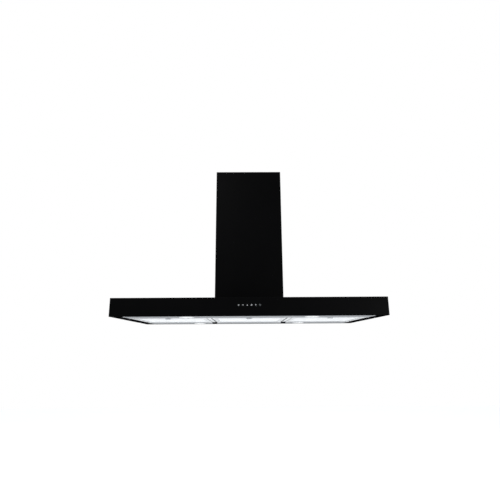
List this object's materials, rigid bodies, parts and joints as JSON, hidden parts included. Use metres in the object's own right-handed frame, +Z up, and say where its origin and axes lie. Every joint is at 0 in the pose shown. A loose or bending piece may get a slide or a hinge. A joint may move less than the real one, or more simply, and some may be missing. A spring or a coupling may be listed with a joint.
{
  "type": "island range hood",
  "caption": "Island range hood: flat box canopy with baffle filters and lamps below and push keys in front, under a telescopic rectangular chimney that holds a blower and duct collar.",
  "frame": {"origin": "centre of the four ceiling bolts, on the top face of the ceiling bracket, which is the ceiling plane", "axes": "+X along the canopy's width, to the right as seen from the front; +Y from the front face with the keys towards the back; +Z up, into the ceiling"},
  "size_m": [1.2, 0.6506, 0.7538],
  "materials": {
    "black_paint": "satin black powder coat",
    "stainless": "brushed",
    "galvanised": "zinc spangle, matt",
    "zinc_steel": "bright zinc plate",
    "spring_steel": "bright drawn wire",
    "black_nylon": "fine moulded grain",
    "key_plastic": "gloss black with pale pad print",
    "indicator_plastic": "smoked",
    "frosted_glass": "frosted",
    "polished_steel": "polished",
    "cast_aluminium": "bead blasted",
    "motor_steel": "electroplated satin",
    "winding_copper": "enamelled copper and laminated iron",
    "blower_plastic": "moulded, dark grey",
    "wheel_plastic": "moulded, mid grey",
    "flap_plastic": "moulded, light grey",
    "white_plastic": "moulded, off-white",
    "circuit_board": "solder mask, green",
    "capacitor_plastic": "white case",
    "cable_sheath": "matt sheath"
  },
  "bodies": {
    "ceiling_mount": {"ceiling_bracket": "galvanised", "frame_upper": "galvanised", "clamp_bolts": "zinc_steel", "chimney_upper": "black_paint", "chimney_screws": "zinc_steel"},
    "blower_wheel": {"impeller": "wheel_plastic", "motor_shaft": "zinc_steel", "rotor": "cast_aluminium"},
    "flap_front": {"damper_flap_front": "flap_plastic"},
    "flap_rear": {"damper_flap_rear": "flap_plastic"},
    "power_key": {"key_power": "key_plastic"},
    "minus_key": {"key_minus": "key_plastic"},
    "plus_key": {"key_plus": "key_plastic"},
    "timer_key": {"key_timer": "key_plastic"},
    "light_key": {"key_light": "key_plastic"},
    "filter_left": {"filter_frame_left": "stainless", "baffle_core_left": "stainless", "latch_springs_left": "spring_steel"},
    "latch_left": {"filter_latch_left": "stainless"},
    "filter_centre": {"filter_frame_centre": "stainless", "baffle_core_centre": "stainless", "latch_springs_centre": "spring_steel"},
    "latch_centre": {"filter_latch_centre": "stainless"},
    "filter_right": {"filter_frame_right": "stainless", "baffle_core_right": "stainless", "latch_springs_right": "spring_steel"},
    "latch_right": {"filter_latch_right": "stainless"},
    "hood": {"frame_lower": "galvanised", "chimney_lower": "black_paint", "canopy_shell": "black_paint", "front_fascia": "black_paint", "side_rails": "black_paint", "lamp_panel_front": "stainless", "lamp_panel_rear": "stainless", "divider_bars": "stainless", "filter_clips": "black_nylon", "panel_screws": "zinc_steel", "lamp_bezels": "polished_steel", "lamp_lenses": "frosted_glass", "lamp_bodies": "cast_aluminium", "key_carrier": "black_nylon", "control_board": "circuit_board", "indicator_lens": "indicator_plastic", "key_springs": "spring_steel", "power_board": "circuit_board", "power_box": "black_nylon", "power_box_lid": "black_nylon", "cable_gland": "black_nylon", "led_driver": "white_plastic", "wiring_harness": "cable_sheath", "run_capacitor": "capacitor_plastic", "motor_box": "galvanised", "motor_box_cover": "galvanised", "scroll_left": "blower_plastic", "scroll_right": "blower_plastic", "outlet_adapter": "blower_plastic", "duct_collar": "blower_plastic", "motor_can": "motor_steel", "stator": "winding_copper", "motor_spider": "galvanised"}
  },
  "joints": [
    {"name": "height_adjust", "type": "slide", "parent": "ceiling_mount", "child": "hood", "axis": [0, 0, -1], "range_m": [0, 0.3]},
    {"name": "blower_spin", "type": "hinge", "parent": "hood", "child": "blower_wheel", "pos_m": [0, -0.025, -0.562], "axis": [1, 0, 0], "continuous": true},
    {"name": "flap_front_turn", "type": "hinge", "parent": "hood", "child": "flap_front", "pos_m": [0, -0.0035, -0.375], "axis": [-1, 0, 0], "range_deg": [0, 80]},
    {"name": "flap_rear_turn", "type": "hinge", "parent": "hood", "child": "flap_rear", "pos_m": [0, 0.0035, -0.375], "axis": [1, 0, 0], "range_deg": [0, 80]},
    {"name": "power_press", "type": "slide", "parent": "hood", "child": "power_key", "axis": [0, 1, 0], "range_m": [0, 0.0015], "stiffness_N_per_m": 300, "springref_m": -0.002, "deforming": ["key_springs"]},
    {"name": "minus_press", "type": "slide", "parent": "hood", "child": "minus_key", "axis": [0, 1, 0], "range_m": [0, 0.0015], "stiffness_N_per_m": 300, "springref_m": -0.002, "deforming": ["key_springs"]},
    {"name": "plus_press", "type": "slide", "parent": "hood", "child": "plus_key", "axis": [0, 1, 0], "range_m": [0, 0.0015], "stiffness_N_per_m": 300, "springref_m": -0.002, "deforming": ["key_springs"]},
    {"name": "timer_press", "type": "slide", "parent": "hood", "child": "timer_key", "axis": [0, 1, 0], "range_m": [0, 0.0015], "stiffness_N_per_m": 300, "springref_m": -0.002, "deforming": ["key_springs"]},
    {"name": "light_press", "type": "slide", "parent": "hood", "child": "light_key", "axis": [0, 1, 0], "range_m": [0, 0.0015], "stiffness_N_per_m": 300, "springref_m": -0.002, "deforming": ["key_springs"]},
    {"name": "filter_left_drop", "type": "hinge", "parent": "hood", "child": "filter_left", "pos_m": [-0.37533, 0.173, -0.7378], "axis": [1, 0, 0], "range_deg": [0, 85]},
    {"name": "latch_left_slide", "type": "slide", "parent": "filter_left", "child": "latch_left", "axis": [0, 1, 0], "range_m": [0, 0.006], "stiffness_N_per_m": 400, "springref_m": -0.004, "deforming": ["latch_springs_left"]},
    {"name": "filter_centre_drop", "type": "hinge", "parent": "hood", "child": "filter_centre", "pos_m": [0, 0.173, -0.7378], "axis": [1, 0, 0], "range_deg": [0, 85]},
    {"name": "latch_centre_slide", "type": "slide", "parent": "filter_centre", "child": "latch_centre", "axis": [0, 1, 0], "range_m": [0, 0.006], "stiffness_N_per_m": 400, "springref_m": -0.004, "deforming": ["latch_springs_centre"]},
    {"name": "filter_right_drop", "type": "hinge", "parent": "hood", "child": "filter_right", "pos_m": [0.37533, 0.173, -0.7378], "axis": [1, 0, 0], "range_deg": [0, 85]},
    {"name": "latch_right_slide", "type": "slide", "parent": "filter_right", "child": "latch_right", "axis": [0, 1, 0], "range_m": [0, 0.006], "stiffness_N_per_m": 400, "springref_m": -0.004, "deforming": ["latch_springs_right"]}
  ]
}
